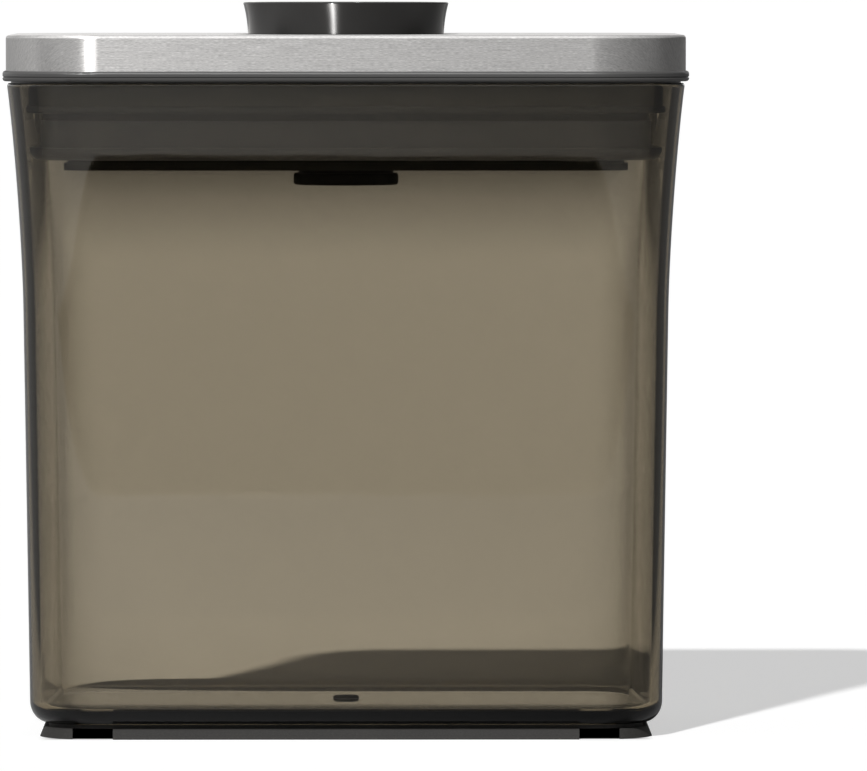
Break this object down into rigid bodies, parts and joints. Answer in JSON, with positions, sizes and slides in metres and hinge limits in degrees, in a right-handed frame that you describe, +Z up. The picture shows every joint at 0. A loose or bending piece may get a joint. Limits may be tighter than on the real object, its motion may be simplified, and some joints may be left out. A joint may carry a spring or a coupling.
{
  "type": "storage jar",
  "caption": "Rectangular tinted clear storage jar with a brushed steel lid, whose pop-up button presses down to squeeze an airtight seal.",
  "frame": {"origin": "middle of the face that the foot ring stands on", "axes": "+X along the jar's width, to the right seen from the front; -Y to the front; +Z up"},
  "size_m": [0.163, 0.108, 0.1743],
  "materials": {
    "tinted_clear": "clear plastic with a smoke brown tint, polished",
    "foot_plastic": "dark grey, fine moulded grain",
    "brushed_steel": "fine straight brushing",
    "frame_plastic": "grey, satin",
    "seal_silicone": "grey silicone, matt",
    "plug_plastic": "dark grey, satin",
    "hub_plastic": "black, satin",
    "button_gloss": "near black, polished",
    "mechanism_plastic": "natural grey",
    "lever_plastic": "natural white, slick",
    "screw_steel": "zinc plated",
    "spring_steel": "drawn wire, bright"
  },
  "bodies": {
    "jar": {"jar_body": "tinted_clear", "foot_ring": "foot_plastic"},
    "lid": {"steel_cover": "brushed_steel", "lid_frame": "frame_plastic", "gasket": "seal_silicone", "button_guide": "mechanism_plastic", "guide_screws": "screw_steel", "rocker_pins": "spring_steel"},
    "seal_plate": {"lower_frame": "plug_plastic", "lower_cover": "plug_plastic", "cover_screws": "screw_steel", "accessory_hub": "hub_plastic", "hub_ring": "screw_steel", "return_spring": "spring_steel"},
    "button": {"button_knob": "button_gloss", "button_disc": "brushed_steel", "button_plunger": "mechanism_plastic", "knob_screws": "screw_steel"},
    "rocker_left": {"rocker_left": "lever_plastic"},
    "rocker_right": {"rocker_right": "lever_plastic"},
    "latch": {"latch_wire": "spring_steel"}
  },
  "joints": [
    {"name": "lid_lift", "type": "slide", "parent": "jar", "child": "lid", "axis": [0, 0, 1], "range_m": [0, 0.08]},
    {"name": "button_press", "type": "slide", "parent": "lid", "child": "button", "axis": [0, 0, -1], "range_m": [0, 0.009], "stiffness_N_per_m": 300, "springref_m": -0.01, "deforming": ["return_spring", "gasket"]},
    {"name": "seal_lift", "type": "slide", "parent": "lid", "child": "seal_plate", "axis": [0, 0, 1], "range_m": [0, 0.0016]},
    {"name": "rocker_left_tilt", "type": "hinge", "parent": "lid", "child": "rocker_left", "pos_m": [-0.04533, 0, 0.1471], "axis": [0, 1, 0], "range_deg": [0, 21.26]},
    {"name": "rocker_right_tilt", "type": "hinge", "parent": "lid", "child": "rocker_right", "pos_m": [0.04533, 0, 0.1471], "axis": [0, -1, 0], "range_deg": [0, 21.26]},
    {"name": "latch_swing", "type": "hinge", "parent": "lid", "child": "latch", "pos_m": [0, 0, 0.1608], "axis": [0, -1, 0], "range_deg": [0, 33.7], "stiffness_Nm_per_rad": 0.002}
  ],
  "couplings": [
    {"joint": "seal_lift", "follows": "button_press", "ratio": 0.17777},
    {"joint": "rocker_left_tilt", "follows": "button_press", "rad_per_m": 41.219},
    {"joint": "rocker_right_tilt", "follows": "button_press", "rad_per_m": 41.219}
  ]
}
